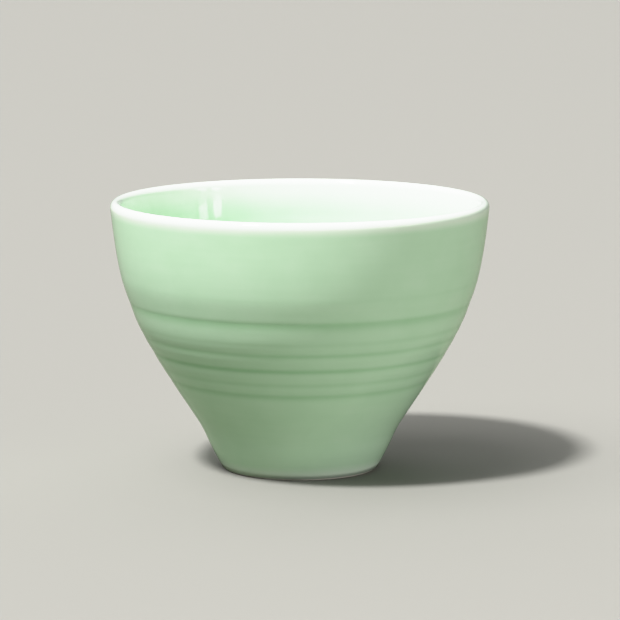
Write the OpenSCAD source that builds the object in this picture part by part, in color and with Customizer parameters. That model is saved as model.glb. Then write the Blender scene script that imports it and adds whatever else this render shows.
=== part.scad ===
// Rice bowl: a thrown and turned porcelain body with a fused celadon glaze.
// Millimetres, +Z up, origin at the centre of the foot on the table.

/* [Bowl] */
// Outer diameter of the lip
rim_d = 112; // [104:1:120]
// Height from the table to the top of the lip
bowl_h = 80; // [74:1:88]
// Diameter of the foot where it meets the table
foot_d = 46.2; // [42:0.2:52]

/* [Wall] */
// Finished thickness of the wall at the lip
lip_t = 3.2; // [2.6:0.1:4]
// Finished thickness of the wall at the hip, above the foot
hip_t = 4.8; // [4:0.1:6]
// Height of the rounding at the top of the lip
lip_round = 2; // [1.5:0.1:3]
// Height of the inside floor above the table
floor_z = 8.4; // [7.6:0.1:12]

/* [Turning lines] */
// Depth to which the wall tucks under above the strongest line
tuck_depth = 0.28; // [0:0.02:0.4]
// Depth of the tool cut left in the glaze surface at the strongest line
cut_depth = 0.06; // [0:0.02:0.2]
// Half width of the tool cut, measured up the wall
cut_half_w = 0.8; // [0.4:0.05:1]

/* [Foot] */
// Depth of the glazed recess under the foot
well_depth = 3.4; // [2.4:0.1:3.8]
// Thickness of the foot wall where it meets the table
foot_wall_t = 3; // [2.5:0.1:4]
// Rounding on the two edges of the bare contact ring
foot_round = 0.4; // [0.3:0.05:0.45]

/* [Glaze] */
// Thickness of the glaze on the walls
glaze_t = 0.5; // [0.3:0.05:0.7]
// Thickness of the glaze where it runs thin, at the lip and at its lower edge
glaze_thin_t = 0.25; // [0.15:0.05:0.3]
// Height of the lower edge of the glaze above the table
glaze_line_z = 0.5; // [0.5:0.1:2]
// Extra glaze that pools in the strongest turning line
pool_t = 0.24; // [0:0.02:0.3]

/* [Hidden] */

$fn = 128;
rim_r = rim_d / 2;
foot_r = foot_d / 2;

// Lean of the outer wall from vertical at the foot, the hip and the lip
foot_lean = 28.7;
hip_lean = 33.6;
rim_lean = 6.1;
// Place of the hip, where the foot cone opens into the bowl
hip = [foot_r + 0.3 * (rim_r - foot_r), 0.229 * bowl_h];
// How far each end of the two curves runs straight on, as a part of the height
foot_pull = 0.175 * bowl_h;
hip_pull_down = 0.144 * bowl_h;
hip_pull_up = 0.406 * bowl_h;
rim_pull = 0.323 * bowl_h;

// Turning lines, from the top: height as a part of bowl_h, how strongly the wall
// tucks in, how strongly it is cut, and how far above and below it the tuck reaches
lines = [
    [0.714, 0.05, 0.15, 6, 3],
    [0.626, 1.00, 0.85, 8, 7],
    [0.550, 0.12, 0.25, 3, 3],
    [0.507, 0.25, 0.60, 3, 3],
    [0.445, 0.40, 1.00, 4, 3],
    [0.390, 0.18, 0.40, 3, 3],
    [0.344, 0.25, 0.70, 3, 4]
];

// Heights over which the glaze thins out towards its lower edge, and towards the
// lip on the outside and on the inside
thin_run_foot = 4;
thin_run_lip = 2.5;
thin_run_lining = 9;
// Draft of the wall of the recess under the foot, and the fillet at its top
well_draft = 14;
well_fillet = 1.6;
// Straight runs of the curve that blends the inner wall into the floor
bowl_pull = 12;
floor_pull = 14;

// Number of points along each stretch of the profile
foot_steps = 14;
wall_steps = 150;
lip_steps = 16;
inner_steps = 40;
floor_steps = 28;
round_steps = 5;

function along(lean) = [sin(lean), cos(lean)];
function outward(lean) = [cos(lean), -sin(lean)];
function bezier(p, t) = pow(1 - t, 3) * p[0] + 3 * t * pow(1 - t, 2) * p[1]
    + 3 * t * t * (1 - t) * p[2] + t * t * t * p[3];
function tangent(p, t) = pow(1 - t, 2) * (p[1] - p[0]) + 2 * t * (1 - t) * (p[2] - p[1])
    + t * t * (p[3] - p[2]);
function lean_of(v) = atan2(v[0], v[1]);
function ramp(x) = let (u = max(0, min(1, x))) u * u * (3 - 2 * u);
function mix(a, b, x) = a + (b - a) * x;
function reversed(list) = [for (i = [len(list) - 1 : -1 : 0]) list[i]];
function rounded(a, corner, b) = [
    for (i = [0 : round_steps])
        let (t = i / round_steps)
        pow(1 - t, 2) * a + 2 * t * (1 - t) * corner + t * t * b
];

// The lip is half an ellipse across the tilted end of the wall; its highest
// and widest points set where the wall ends
lip_up = norm([lip_t / 2 * sin(rim_lean), lip_round * cos(rim_lean)]);
lip_out = norm([lip_t / 2 * cos(rim_lean), lip_round * sin(rim_lean)]);
lip_centre = [rim_r - lip_out, bowl_h - lip_up];
rim = lip_centre + lip_t / 2 * outward(rim_lean);

foot = [foot_r, 0];
foot_curve = [
    foot,
    foot + foot_pull * along(foot_lean),
    hip - hip_pull_down * along(hip_lean),
    hip
];
wall_curve = [
    hip,
    hip + hip_pull_up * along(hip_lean),
    rim - rim_pull * along(rim_lean),
    rim
];

// Turning lines: the wall tucks in towards each line in a soft wave, and a
// narrow tool cut marks the line itself
function tuck(u, above, below) = ramp(1 - (u > 0 ? u / above : -u / below));
function cut(u) = exp(-pow(u / cut_half_w, 2));
function tucked(z) = max([for (l = lines) l[1] * tuck(z - l[0] * bowl_h, l[3], l[4])]);
function scored(z) = max([for (l = lines) l[2] * cut(z - l[0] * bowl_h)]);
function relief(z) = tuck_depth * tucked(z) + cut_depth * scored(z);

// Glaze thickness at height z on the outside
function glaze_at(z) = let (
    up = ramp((z - glaze_line_z) / thin_run_foot),
    down = ramp((lip_centre[1] - z) / thin_run_lip)
) mix(glaze_thin_t, glaze_t, min(up, down)) + pool_t * scored(z);
// Glaze thickness at height z on the inside
function lining_at(z) = mix(glaze_thin_t, glaze_t, ramp((lip_centre[1] - z) / thin_run_lining));

// A point of the wall, depth below the smooth outer curve
function wall_point(curve, t, depth) =
    bezier(curve, t) - depth * outward(lean_of(tangent(curve, t)));
function height(curve, t) = bezier(curve, t)[1];
// The parameter at which the foot curve reaches height z
function foot_curve_at(z, low = 0, high = 1, tries = 16) =
    let (middle = (low + high) / 2)
    tries == 0 ? middle
    : height(foot_curve, middle) < z ? foot_curve_at(z, middle, high, tries - 1)
    : foot_curve_at(z, low, middle, tries - 1);
line_t = foot_curve_at(glaze_line_z);

// Outside of the wall from the glaze line to the lip; skin is 0 for the glaze
// surface and 1 for the clay under it
function outside(skin) = concat(
    [for (i = [0 : foot_steps - 1])
        let (t = mix(line_t, 1, i / foot_steps), z = height(foot_curve, t))
        wall_point(foot_curve, t, relief(z) + skin * glaze_at(z))],
    [for (i = [0 : wall_steps])
        let (t = i / wall_steps, z = height(wall_curve, t))
        wall_point(wall_curve, t, relief(z) + skin * glaze_at(z))]
);
function lip(skin) = [
    for (i = [1 : lip_steps - 1])
        let (a = 180 * i / lip_steps, g = skin * glaze_thin_t)
        lip_centre + (lip_t / 2 - g) * cos(a) * outward(rim_lean)
            + (lip_round - g) * sin(a) * along(rim_lean)
];

// Inside of the wall, down from the lip to the hip, then round into the floor
function wall_t(t) = mix(hip_t, lip_t, ramp(t));
function inner_wall(skin) = [
    for (i = [0 : inner_steps])
        let (t = 1 - i / inner_steps, z = height(wall_curve, t))
        wall_point(wall_curve, t, wall_t(t) - skin * lining_at(z))
];
function inner_floor(skin) =
    let (
        start = wall_point(wall_curve, 0, hip_t - skin * glaze_t),
        centre = [0, floor_z - skin * glaze_t],
        blend = [start, start - bowl_pull * along(hip_lean), centre + [floor_pull, 0], centre]
    )
    [for (i = [1 : floor_steps]) bezier(blend, i / floor_steps)];

function surface_of(skin) = concat(outside(skin), lip(skin), inner_wall(skin), inner_floor(skin));

// Recess under the foot, from its lower edge up the wall and in to the axis
bare_t = glaze_thin_t;
well_mouth_r = foot_r - bare_t - foot_wall_t;
function well_wall_r(z) = well_mouth_r - z * tan(well_draft);
function well(skin) =
    let (
        g = (1 - skin) * glaze_thin_t,
        top_z = well_depth + skin * glaze_thin_t,
        corner = [well_wall_r(top_z) - g, top_z],
        down = corner - well_fillet * [-tan(well_draft), 1],
        in = corner - [well_fillet, 0]
    )
    concat([[well_wall_r(glaze_line_z) - g, glaze_line_z]], rounded(down, corner, in), [[0, top_z]]);

// Bare clay between the two glaze edges, from inside the ring to outside it
function contact_ring() = concat(
    rounded(
        [well_wall_r(foot_round), foot_round],
        [well_mouth_r, 0],
        [well_mouth_r + foot_round, 0]
    ),
    rounded(
        [foot_r - bare_t - foot_round, 0],
        [foot_r - bare_t, 0],
        wall_point(foot_curve, foot_curve_at(foot_round), bare_t)
    )
);

// Fired porcelain: foot ring, wall, lip and floor, thrown and turned in one piece
module porcelain_body() {
    color("whitesmoke")
    rotate_extrude()
    polygon(concat(reversed(well(1)), contact_ring(), surface_of(1)));
}

// One coat of glaze from the line above the foot, over the lip to the floor
module celadon_glaze() {
    color([0.72, 0.85, 0.70])
    rotate_extrude()
    polygon(concat(surface_of(0), reversed(surface_of(1))));
}

// Thin glaze in the recess under the foot
module foot_well_glaze() {
    color([0.76, 0.87, 0.74])
    rotate_extrude()
    polygon(concat(well(0), reversed(well(1))));
}

porcelain_body();
celadon_glaze();
foot_well_glaze();
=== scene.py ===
"""Looks of the celadon rice bowl: dense turned surfaces, fused glaze, bare foot ring, studio.

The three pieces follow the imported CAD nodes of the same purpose. Lengths are in metres.
"""

import math

import bpy
import numpy as np
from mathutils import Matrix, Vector


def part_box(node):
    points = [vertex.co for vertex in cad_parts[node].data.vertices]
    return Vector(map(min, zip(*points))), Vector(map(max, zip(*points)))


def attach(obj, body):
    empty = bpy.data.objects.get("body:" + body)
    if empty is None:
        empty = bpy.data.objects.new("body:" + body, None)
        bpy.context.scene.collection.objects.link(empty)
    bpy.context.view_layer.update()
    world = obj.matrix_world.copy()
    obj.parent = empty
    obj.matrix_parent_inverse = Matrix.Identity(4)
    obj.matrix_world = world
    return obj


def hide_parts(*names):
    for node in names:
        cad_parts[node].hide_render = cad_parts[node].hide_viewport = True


MM = 0.001

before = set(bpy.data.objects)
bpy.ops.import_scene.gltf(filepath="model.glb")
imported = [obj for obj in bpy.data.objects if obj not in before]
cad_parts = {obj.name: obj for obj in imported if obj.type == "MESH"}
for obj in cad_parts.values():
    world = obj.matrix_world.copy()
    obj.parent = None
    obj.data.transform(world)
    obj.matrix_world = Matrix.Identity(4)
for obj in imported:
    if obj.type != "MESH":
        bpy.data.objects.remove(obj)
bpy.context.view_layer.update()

# ---------------------------------------------------------------- sizes, from the frame
glaze_low, glaze_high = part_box("celadon_glaze")
RIM_R = glaze_high.x
BOWL_H = glaze_high.z
GLAZE_LINE_Z = glaze_low.z
WELL_GLAZE_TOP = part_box("foot_well_glaze")[1].z

# ---------------------------------------------------------------- sizes, as designed
FOOT_R = 0.4125 * RIM_R
LIP_T = 3.2 * MM
LIP_ROUND = 2.0 * MM
HIP_T = 4.8 * MM
FLOOR_Z = 8.4 * MM
GLAZE_T = 0.5 * MM
GLAZE_THIN_T = 0.25 * MM
THIN_RUN_FOOT = 4 * MM
THIN_RUN_LIP = 2.5 * MM
# Inside, the glaze thins over this run below the lip: partly real thinning, and drawn out long so that
# the paler thin glaze paints the glow of light through the thin rim
LINING_THIN_RUN_AND_PAINTED_GLOW = 9 * MM
POOL_T = 0.24 * MM

# Lean of the outer wall from vertical at the foot, the hip and the lip
FOOT_LEAN = math.radians(28.7)
HIP_LEAN = math.radians(33.6)
RIM_LEAN = math.radians(6.1)
HIP = np.array([FOOT_R + 0.3 * (RIM_R - FOOT_R), 0.229 * BOWL_H])
FOOT_PULL = 0.175 * BOWL_H
HIP_PULL_DOWN = 0.144 * BOWL_H
HIP_PULL_UP = 0.406 * BOWL_H
RIM_PULL = 0.323 * BOWL_H

# Foot: bare ring, recess and its glaze
FOOT_WALL_T = 3.0 * MM
FOOT_ROUND = 0.4 * MM
WELL_DRAFT = math.radians(14)
WELL_FILLET = 1.6 * MM

# Inner wall and floor
BOWL_PULL = 12 * MM
FLOOR_PULL = 14 * MM

# Turned lines, from the top: height as a part of BOWL_H, strength of the tuck,
# strength of the cut, how far above it the tuck begins and how far below it ends,
# and the angle round the bowl at which the line is strongest
LINES = [
    (0.714, 0.05, 0.15, 6 * MM, 3 * MM, 0.6),
    (0.626, 1.00, 0.85, 8 * MM, 7 * MM, 4.3),
    (0.550, 0.12, 0.25, 3 * MM, 3 * MM, 6.0),
    (0.507, 0.25, 0.60, 3 * MM, 3 * MM, 4.8),
    (0.445, 0.40, 1.00, 4 * MM, 3 * MM, 4.1),
    (0.390, 0.18, 0.40, 3 * MM, 3 * MM, 4.8),
    (0.344, 0.25, 0.70, 3 * MM, 4 * MM, 4.4),
]
# How much the lines fade on their far side, and how much they waver on the way there
LINE_FADE = 0.35
LINE_WAVER = 0.05
TUCK_DEPTH = 0.28 * MM
CUT_DEPTH = 0.06 * MM
# Half width of the cut above the line, and below it as a part of the tuck's reach there
CUT_HALF_W = 0.8 * MM
CUT_BELOW = 0.25

# Finger marks left by throwing: one shallow helix up the inside and in the floor,
# a finer spiral cut under the foot, and a little more glaze settled in the floor
THROWN_DEPTH = 0.03 * MM
THROWN_PITCH = 7 * MM
SPIRAL_DEPTH = 0.05 * MM
SPIRAL_PITCH = 2.6 * MM
SETTLED_T = 0.12 * MM
SETTLED_R = 13 * MM

# Where those marks fade: below the lip, above the hip, at the edge and the centre of the
# floor, and at both ends of the spiral
THROWN_START = 9 * MM
THROWN_FADE = 30 * MM
HIP_FADE = 6 * MM
FLOOR_EDGE_FADE = 5 * MM
FLOOR_CENTRE_FADE = 4 * MM
SPIRAL_FADE = 2 * MM

# Points round the bowl, and rows of them along each stretch of the profile
AROUND = 240
FOOT_ROWS = 24
WALL_ROWS = 170
LIP_ROWS = 20
LINING_ROWS = 90
FLOOR_ROWS = 72
CEILING_ROWS = 42
# The rows of the wall lie this much closer within this distance of a turned line
CLOSER = 3.5
CLOSER_REACH = 1.3 * MM

# A profile is an array of rows x AROUND x (radius, height), with the thickness of the
# glaze at each point
ANGLES = np.arange(AROUND) * 2 * math.pi / AROUND


# ---------------------------------------------------------------- profile, as (radius, height)
def along(lean):
    return np.array([np.sin(lean), np.cos(lean)])


def outward(lean):
    return np.array([np.cos(lean), -np.sin(lean)])


def bezier(p, t):
    t = np.asarray(t)[:, None]
    return (1 - t) ** 3 * p[0] + 3 * t * (1 - t) ** 2 * p[1] + 3 * t**2 * (1 - t) * p[2] + t**3 * p[3]


def bezier_normal(p, t):
    """Unit vectors square to the curve, on its right."""
    t = np.asarray(t)[:, None]
    d = (1 - t) ** 2 * (p[1] - p[0]) + 2 * t * (1 - t) * (p[2] - p[1]) + t**2 * (p[3] - p[2])
    d /= np.linalg.norm(d, axis=1)[:, None]
    return np.column_stack([d[:, 1], -d[:, 0]])


def ramp(x):
    x = np.clip(x, 0, 1)
    return x * x * (3 - 2 * x)


def mix(a, b, x):
    return a + (b - a) * x


def rounded(a, corner, b, steps=8):
    t = np.linspace(0, 1, steps)[:, None]
    return (1 - t) ** 2 * a + 2 * t * (1 - t) * corner + t * t * b


lip_up = math.hypot(LIP_T / 2 * math.sin(RIM_LEAN), LIP_ROUND * math.cos(RIM_LEAN))
lip_out = math.hypot(LIP_T / 2 * math.cos(RIM_LEAN), LIP_ROUND * math.sin(RIM_LEAN))
LIP_CENTRE = np.array([RIM_R - lip_out, BOWL_H - lip_up])
RIM = LIP_CENTRE + LIP_T / 2 * outward(RIM_LEAN)
FOOT = np.array([FOOT_R, 0.0])
FOOT_CURVE = [FOOT, FOOT + FOOT_PULL * along(FOOT_LEAN), HIP - HIP_PULL_DOWN * along(HIP_LEAN), HIP]
WALL_CURVE = [HIP, HIP + HIP_PULL_UP * along(HIP_LEAN), RIM - RIM_PULL * along(RIM_LEAN), RIM]


def foot_curve_at(z):
    """The parameter at which the foot curve reaches height z."""
    t = np.linspace(0, 1, 400)
    return float(np.interp(z, bezier(FOOT_CURVE, t)[:, 1], t))


def tuck(u, reach, below):
    return ramp(1 - np.where(u > 0, u / reach, -u / below))


def line_strength(angle, phase):
    """A line is cut a little deeper on one side of the bowl than on the other."""
    turn = angle - phase
    return 1 + LINE_FADE * (np.cos(turn) - 1) + LINE_WAVER * np.cos(3 * turn)


def strongest(z, angle, shape):
    """The strongest of the lines' shapes at height z and this angle."""
    shapes = [shape(z - line[0] * BOWL_H, line) * line_strength(angle, line[5]) for line in LINES]
    return np.max(shapes, axis=0)


def tucked(z, angle):
    return strongest(z, angle, lambda u, line: line[1] * tuck(u, line[3], line[4]))


def cut(u, below):
    """A tool cut, softer below the line in proportion to the tuck's reach."""
    return np.exp(-((u / np.where(u > 0, CUT_HALF_W, CUT_BELOW * below)) ** 2))


def scored(z, angle):
    return strongest(z, angle, lambda u, line: line[2] * cut(u, line[4]))


def relief(z, angle):
    return TUCK_DEPTH * tucked(z, angle) + CUT_DEPTH * scored(z, angle)


def glaze_outside(z, angle):
    up = ramp((z - GLAZE_LINE_Z) / THIN_RUN_FOOT)
    down = ramp((LIP_CENTRE[1] - z) / THIN_RUN_LIP)
    return mix(GLAZE_THIN_T, GLAZE_T, np.minimum(up, down)) + POOL_T * scored(z, angle)


def all_round(column):
    """The same value all the way round, for each row."""
    return np.repeat(column, AROUND, axis=1)


# Lining thickness: real thinning towards the lip, drawn out long so its paler colour is a painted glow
# of light through the rim
def glaze_inside(z):
    down = ramp((LIP_CENTRE[1] - z) / LINING_THIN_RUN_AND_PAINTED_GLOW)
    return all_round(mix(GLAZE_THIN_T, GLAZE_T, down))


def thrown(place, fade):
    """Depth of the finger mark at a height or radius, all the way round."""
    return THROWN_DEPTH * np.sin(2 * math.pi * place / THROWN_PITCH + ANGLES[None, :]) * fade


def settled(radius):
    """Extra glaze at the bottom of the bowl."""
    return all_round(SETTLED_T * np.exp(-((radius / SETTLED_R) ** 2)))


def swept(points):
    """The same point all the way round."""
    return np.repeat(np.asarray(points)[:, None, :], AROUND, axis=1)


def inset(points, normals, depth):
    return points[:, None, :] - depth[:, :, None] * normals[:, None, :]


def wall_rows():
    """Curve parameters up the wall, close together at the turned lines."""
    fine = np.linspace(0, 1, 3000)
    z = bezier(WALL_CURVE, fine)[:, 1]
    to_line = np.min([abs(z - line[0] * BOWL_H) for line in LINES], axis=0)
    weight = 1 + CLOSER * np.exp(-((to_line / CLOSER_REACH) ** 2))
    total = np.cumsum(weight * np.gradient(z))
    total = (total - total[0]) / (total[-1] - total[0])
    return np.interp(np.linspace(0, 1, WALL_ROWS), total, fine)


def outside(skin):
    """Glaze line to the end of the wall; skin is 0 on the glaze and 1 on the clay."""
    t_foot = np.linspace(foot_curve_at(GLAZE_LINE_Z), 1, FOOT_ROWS)[:-1]
    t_wall = wall_rows()
    points = np.vstack([bezier(FOOT_CURVE, t_foot), bezier(WALL_CURVE, t_wall)])
    normals = np.vstack([bezier_normal(FOOT_CURVE, t_foot), bezier_normal(WALL_CURVE, t_wall)])
    z = points[:, 1][:, None]
    glaze = glaze_outside(z, ANGLES[None, :])
    return inset(points, normals, relief(z, ANGLES[None, :]) + skin * glaze), glaze


def lip(skin):
    a = np.linspace(0, math.pi, LIP_ROWS + 1)[1:-1, None]
    g = skin * GLAZE_THIN_T
    points = (
        LIP_CENTRE
        + (LIP_T / 2 - g) * np.cos(a) * outward(RIM_LEAN)
        + (LIP_ROUND - g) * np.sin(a) * along(RIM_LEAN)
    )
    return swept(points), np.full((len(points), AROUND), GLAZE_THIN_T)


def raised(points, height):
    """Lift the points of each row by a height that may differ round the bowl."""
    lifted = swept(points)
    lifted[:, :, 1] += height
    return lifted


def inside(skin):
    """Lip to hip, then round into the floor and in to the axis."""
    t = np.linspace(1, 0, LINING_ROWS)
    points, normals = bezier(WALL_CURVE, t), bezier_normal(WALL_CURVE, t)
    z = points[:, 1][:, None]
    wall = mix(HIP_T, LIP_T, ramp(t))[:, None]
    glaze = glaze_inside(z)
    below_lip = LIP_CENTRE[1] - z
    fade = ramp((below_lip - THROWN_START) / THROWN_FADE) * ramp((z - HIP[1]) / HIP_FADE)
    wall_points = inset(points, normals, wall + thrown(z, fade) - skin * glaze)
    start = wall_points[-1, 0]
    centre = np.array([0, FLOOR_Z - skin * GLAZE_T])
    blend = [start, start - BOWL_PULL * along(HIP_LEAN), centre + [FLOOR_PULL, 0], centre]
    floor = bezier(blend, np.linspace(0, 1, FLOOR_ROWS)[1:])
    radius = floor[:, 0][:, None]
    fade = ramp((start[0] - radius) / FLOOR_EDGE_FADE) * ramp(radius / FLOOR_CENTRE_FADE)
    floor_points = raised(floor, thrown(radius, fade) - skin * settled(radius))
    return np.vstack([wall_points, floor_points]), np.vstack([glaze, GLAZE_T + settled(radius)])


def surface(skin):
    parts = [outside(skin), lip(skin), inside(skin)]
    return np.vstack([p for p, g in parts]), np.vstack([g for p, g in parts])


def well_wall_r(z):
    return FOOT_R - GLAZE_THIN_T - FOOT_WALL_T - z * math.tan(WELL_DRAFT)


def well(skin):
    """From the lower edge of the recess's glaze up its wall and in to the axis."""
    g = (1 - skin) * GLAZE_THIN_T
    top = WELL_GLAZE_TOP - g
    corner = np.array([well_wall_r(top) - g, top])
    down = corner - WELL_FILLET * np.array([-math.tan(WELL_DRAFT), 1])
    inward = corner - np.array([WELL_FILLET, 0])
    edge = np.array([well_wall_r(GLAZE_LINE_Z) - g, GLAZE_LINE_Z])
    ceiling = np.column_stack(
        [np.linspace(inward[0], 0, CEILING_ROWS)[1:], np.full(CEILING_ROWS - 1, top)]
    )
    radius = ceiling[:, 0][:, None]
    fade = ramp((inward[0] - radius) / SPIRAL_FADE) * ramp(radius / SPIRAL_FADE)
    turns = 2 * math.pi * radius / SPIRAL_PITCH + ANGLES[None, :]
    spiral = SPIRAL_DEPTH * np.sin(turns) * fade
    edge_points = swept(np.vstack([[edge], rounded(down, corner, inward)]))
    points = np.vstack([edge_points, raised(ceiling, spiral)])
    return points, np.full((len(points), AROUND), GLAZE_THIN_T)


def contact_ring():
    """Bare clay from inside the ring, under it, to the outside."""
    t = foot_curve_at(FOOT_ROUND)
    outer_edge = bezier(FOOT_CURVE, [t])[0] - GLAZE_THIN_T * bezier_normal(FOOT_CURVE, [t])[0]
    bottom_out = np.array([FOOT_R - GLAZE_THIN_T, 0])
    bottom_in = np.array([well_wall_r(0), 0])
    inner_edge = np.array([well_wall_r(FOOT_ROUND), FOOT_ROUND])
    inner = rounded(inner_edge, bottom_in, bottom_in + [FOOT_ROUND, 0])
    outer = rounded(bottom_out - [FOOT_ROUND, 0], bottom_out, outer_edge)
    points = np.vstack([inner, outer])
    return swept(points), np.zeros((len(points), AROUND))


# ---------------------------------------------------------------- meshes
def revolved(name, pieces):
    """A closed mesh from profile pieces that start and end on the axis."""
    points = np.vstack([p for p, g in pieces])
    glaze = np.vstack([g for p, g in pieces])
    rows = len(points)
    x = points[:, :, 0] * np.cos(ANGLES)
    y = points[:, :, 0] * np.sin(ANGLES)
    grid = np.stack([x, y, points[:, :, 1]], axis=2)[1:-1].reshape(-1, 3)
    poles = [(0, 0, points[0, 0, 1]), (0, 0, points[-1, 0, 1])]
    verts = np.vstack([grid, poles])
    thickness = np.concatenate([glaze[1:-1].reshape(-1), [glaze[0, 0], glaze[-1, 0]]])
    inner = rows - 2
    step = np.arange(AROUND)
    after = (step + 1) % AROUND
    faces = [(len(grid), int(b), int(a)) for a, b in zip(step, after)]
    for row in range(inner - 1):
        low, up = row * AROUND, (row + 1) * AROUND
        faces += [(low + int(a), low + int(b), up + int(b), up + int(a)) for a, b in zip(step, after)]
    last = (inner - 1) * AROUND
    faces += [(last + int(a), last + int(b), len(grid) + 1) for a, b in zip(step, after)]
    mesh = bpy.data.meshes.new(name)
    mesh.from_pydata(verts.tolist(), [], faces)
    mesh.validate()
    in_mm = (thickness / MM).astype(np.float32)
    mesh.attributes.new("glaze", "FLOAT", "POINT").data.foreach_set("value", in_mm)
    if signed_volume(mesh) < 0:
        mesh.flip_normals()
    mesh.shade_smooth()
    obj = bpy.data.objects.new(name, mesh)
    bpy.context.scene.collection.objects.link(obj)
    return obj


def signed_volume(mesh):
    mesh.calc_loop_triangles()
    co = np.array([v.co for v in mesh.vertices])
    tris = np.array([t.vertices for t in mesh.loop_triangles])
    a, b, c = co[tris[:, 0]], co[tris[:, 1]], co[tris[:, 2]]
    return float(np.einsum("ij,ij->i", a, np.cross(b, c)).sum() / 6)


def backwards(piece):
    return piece[0][::-1], piece[1][::-1]


# ---------------------------------------------------------------- materials
class Nodes:
    """Short names for building a node tree."""

    def __init__(self, name):
        self.material = bpy.data.materials.new(name)
        self.material.use_nodes = True
        self.tree = self.material.node_tree
        self.shader = self.tree.nodes["Principled BSDF"]

    def node(self, kind, inputs=None, **settings):
        made = self.tree.nodes.new("ShaderNode" + kind)
        for key, value in settings.items():
            setattr(made, key, value)
        for key, value in (inputs or {}).items():
            self.put(value, made.inputs[key])
        return made

    def put(self, value, socket):
        if isinstance(value, bpy.types.NodeSocket):
            self.tree.links.new(value, socket)
        else:
            socket.default_value = value

    def math(self, operation, a, b=0.0, clamp=False):
        made = self.node("Math", operation=operation, use_clamp=clamp)
        self.put(a, made.inputs[0])
        self.put(b, made.inputs[1])
        return made.outputs[0]

    def noise(self, scale, detail=2.0, roughness=0.5, vector=None):
        made = self.node("TexNoise", {"Scale": scale, "Detail": detail, "Roughness": roughness})
        self.put(vector or self.place(), made.inputs["Vector"])
        return made.outputs["Fac"]

    def spread(self, noise, width):
        """Noise from 0 to 1 turned into a value so wide, centred on 0."""
        return self.math("MULTIPLY", self.math("SUBTRACT", noise, 0.5), width)

    def bump(self, strength, distance, height, under=None):
        inputs = {"Strength": strength, "Distance": distance, "Height": height}
        if under:
            inputs["Normal"] = under
        return self.node("Bump", inputs).outputs[0]

    def place(self):
        return self.node("TexCoord").outputs["Object"]

    def ramp(self, fac, stops):
        made = self.node("ValToRGB", {"Fac": fac})
        elements = made.color_ramp.elements
        while len(elements) < len(stops):
            elements.new(0.5)
        for element, (position, colour) in zip(elements, stops):
            element.position = position
            element.color = (*colour, 1)
        return made.outputs["Color"]

    def set(self, **values):
        for key, value in values.items():
            self.put(value, self.shader.inputs[key.replace("_", " ")])
        return self.material


# The glaze where it is thin, of full thickness and pooled
THIN_GLAZE = (0.78, 0.87, 0.77)
GLAZE = (0.54, 0.74, 0.545)
POOLED_GLAZE = (0.37, 0.60, 0.375)


def celadon():
    """Glossy glaze whose colour deepens with its thickness, with faint mottling and ripple."""
    n = Nodes("celadon")
    thickness = n.node("Attribute", attribute_name="glaze").outputs["Fac"]
    bands = n.node("VectorMath", {0: n.place(), 1: (0.25, 0.25, 3.0)}, operation="MULTIPLY").outputs[0]
    mottle = n.spread(n.noise(90, 3, 0.55), 0.10)
    streaks = n.spread(n.noise(160, 2, 0.5, bands), 0.05)
    depth = n.math("ADD", thickness, n.math("ADD", mottle, streaks))
    colour = n.ramp(depth, [(0.22, THIN_GLAZE), (0.5, GLAZE), (0.74, POOLED_GLAZE)])
    turned = n.bump(0.5, 0.013 * MM, n.noise(320, 2, 0.4, bands))
    ripple = n.bump(0.25, 0.02 * MM, n.noise(260, 2, 0.4), turned)
    rough = n.math("ADD", 0.06, n.spread(n.noise(400, 2, 0.5), 0.04))
    return n.set(Base_Color=colour, Roughness=rough, Normal=ripple, IOR=1.5)


DARKER_CLAY = (0.66, 0.63, 0.57)
LIGHTER_CLAY = (0.74, 0.72, 0.66)


def bare_porcelain():
    """Unglazed vitrified clay: off-white, dry, with a fine grain."""
    n = Nodes("bare_porcelain")
    grain = n.noise(2600, 4, 0.6)
    colour = n.ramp(n.noise(500, 4, 0.6), [(0.3, DARKER_CLAY), (0.7, LIGHTER_CLAY)])
    bump = n.bump(0.35, 0.04 * MM, grain)
    return n.set(Base_Color=colour, Roughness=0.7, Normal=bump, IOR=1.5)


# ---------------------------------------------------------------- the bowl
glaze = revolved("glaze_coat", [backwards(surface(0)), surface(1)])
body = revolved("porcelain", [backwards(well(1)), contact_ring(), surface(1)])
foot_glaze = revolved("foot_well_coat", [backwards(well(0)), well(1)])

celadon_material = celadon()
for piece, material, node, slot in (
    (glaze, celadon_material, "celadon_glaze", "celadon"),
    (body, bare_porcelain(), "porcelain_body", "porcelain"),
    (foot_glaze, celadon_material, "foot_well_glaze", "celadon"),
):
    piece.data.materials.append(material)
    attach(piece, "root")
    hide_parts(node)

# ---------------------------------------------------------------- studio
# The camera looks slightly down at a point near the middle of the bowl
VIEW_DISTANCE = 1.006
VIEW_PITCH = math.radians(8.785)
VIEW_HEIGHT = 47.0 * MM
VIEW_ASIDE = 3.0 * MM
LENS_MM = 196.6


def aimed(obj, target):
    direction = Vector(target) - obj.location
    obj.rotation_euler = direction.to_track_quat("-Z", "Y").to_euler()
    return obj


def camera():
    data = bpy.data.cameras.new("camera")
    data.lens = LENS_MM
    data.sensor_width = 36
    obj = bpy.data.objects.new("camera", data)
    bpy.context.scene.collection.objects.link(obj)
    target = Vector((VIEW_ASIDE, 0, VIEW_HEIGHT))
    obj.location = target + VIEW_DISTANCE * Vector((0, -math.cos(VIEW_PITCH), math.sin(VIEW_PITCH)))
    bpy.context.scene.camera = aimed(obj, target)


def towards(azimuth, elevation):
    """Unit vector to a lamp; azimuth is counted from the camera's side, to its left."""
    a, e = math.radians(azimuth), math.radians(elevation)
    return Vector((-math.sin(a) * math.cos(e), -math.cos(a) * math.cos(e), math.sin(e)))


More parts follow.
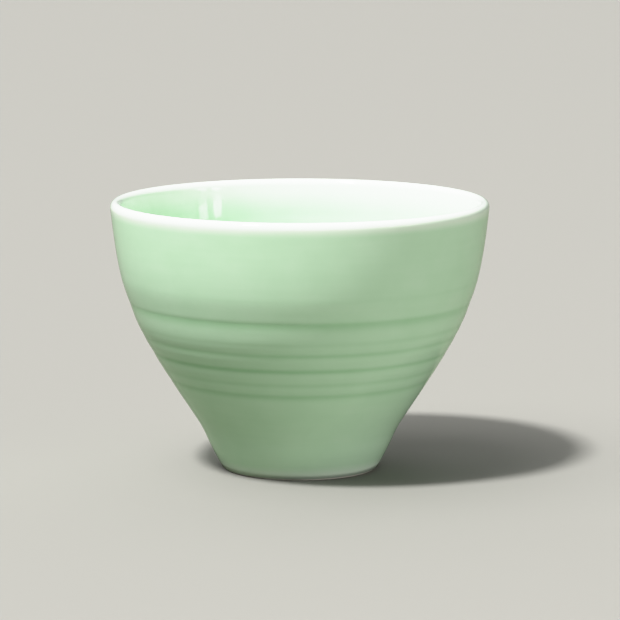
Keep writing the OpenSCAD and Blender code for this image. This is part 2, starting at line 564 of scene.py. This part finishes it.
def lamp(name, kind, azimuth, elevation, strength, distance=2.0, mirrored=True):
    data = bpy.data.lights.new(name, kind)
    data.energy = strength
    obj = bpy.data.objects.new(name, data)
    bpy.context.scene.collection.objects.link(obj)
    centre = Vector((0, 0, BOWL_H / 2))
    obj.location = centre + distance * towards(azimuth, elevation)
    obj.visible_camera = False
    obj.visible_glossy = mirrored
    aimed(obj, centre)
    return data


def distant_lamp(name, azimuth, elevation, width, strength, mirrored=False):
    """A soft round lamp far away, so many degrees wide."""
    lamp(name, "SUN", azimuth, elevation, strength, mirrored=mirrored).angle = math.radians(width)


def panel_lamp(name, azimuth, elevation, distance, width, height, watts, mirrored=True):
    data = lamp(name, "AREA", azimuth, elevation, watts, distance, mirrored)
    data.shape = "RECTANGLE"
    data.size = width
    data.size_y = height
    return data


# The floor is pale to look at, but throws less light back up at the bowl
FLOOR_SEEN = (0.25, 0.245, 0.225)
FLOOR_BOUNCE = (0.125, 0.145, 0.10)
FLOOR_HALF_W = 4.0


def floor():
    mesh = bpy.data.meshes.new("floor")
    corners = [(FLOOR_HALF_W * x, FLOOR_HALF_W * y, 0) for x, y in ((-1, -1), (1, -1), (1, 1), (-1, 1))]
    mesh.from_pydata(corners, [], [(0, 1, 2, 3)])
    obj = bpy.data.objects.new("floor", mesh)
    bpy.context.scene.collection.objects.link(obj)
    n = Nodes("floor")
    seen = n.node("LightPath").outputs["Is Camera Ray"]
    colour = n.node("Mix", data_type="RGBA", blend_type="MIX")
    # A Mix node has sockets A, B and Result for each kind of data: 6, 7 and 2 are the colours
    n.put(seen, colour.inputs["Factor"])
    n.put((*FLOOR_BOUNCE, 1), colour.inputs[6])
    n.put((*FLOOR_SEEN, 1), colour.inputs[7])
    mesh.materials.append(n.set(Base_Color=colour.outputs[2], Roughness=0.8, Specular_IOR_Level=0.2))


# The brightest light rolls off softly instead of being cut at white: brightness is kept
# up to SHOULDER, and reaches white at BRIGHTEST
SHOULDER = 0.76
BRIGHTEST = 3.0
# How steeply the curve leaves the shoulder, and where along it the points are
ROLL = 1.12
LEVELS = (0.18, 0.36, 0.54, SHOULDER, 0.82, 0.95, 1.15, 1.5, 2, 2.6)


def soft_highlights():
    """Plain colours up to the shoulder, then a curve that ends in white."""
    settings = bpy.context.scene.view_settings
    settings.view_transform = "Standard"
    settings.use_curve_mapping = True
    mapping = settings.curve_mapping
    mapping.clip_max_x = BRIGHTEST
    all_channels = mapping.curves[3]
    all_channels.points[-1].location = (BRIGHTEST, 1)
    for level in LEVELS:
        over = max(0, level - SHOULDER) / (1 - SHOULDER)
        rolled = (1 - SHOULDER) * over / (1 + over) * ROLL
        all_channels.points.new(level, min(level, SHOULDER) + rolled)
    mapping.update()


def sky():
    world = bpy.data.worlds.new("world")
    world.use_nodes = True
    background = world.node_tree.nodes["Background"]
    background.inputs["Color"].default_value = (0.9, 0.95, 1.0, 1)
    background.inputs["Strength"].default_value = 0.05
    bpy.context.scene.world = world


camera()
floor()
# Azimuth, elevation, width in degrees, strength
distant_lamp("key", 47.5, 61.3, 7, 5.6, mirrored=True)
distant_lamp("key_halo", 75, 60, 50, 1.8)
distant_lamp("overhead", 0, 82, 50, 0.25)
distant_lamp("back_fill", 180, 50, 60, 1.0)
distant_lamp("side_fill", 140, 25, 50, 0.5)
# Azimuth, elevation, distance, width, height, watts
window = panel_lamp("long_window", -45, 7.5, 2.0, 2.6, 0.5, 22, mirrored=False)
window.color = (1, 1, 0.95)
panel_lamp("window_pane_right", -69.3, 7.5, 1.9, 0.23, 0.09, 0.37)
panel_lamp("window_pane_left", -58, 7.8, 1.9, 0.2, 0.09, 0.36)
sky()
soft_highlights()
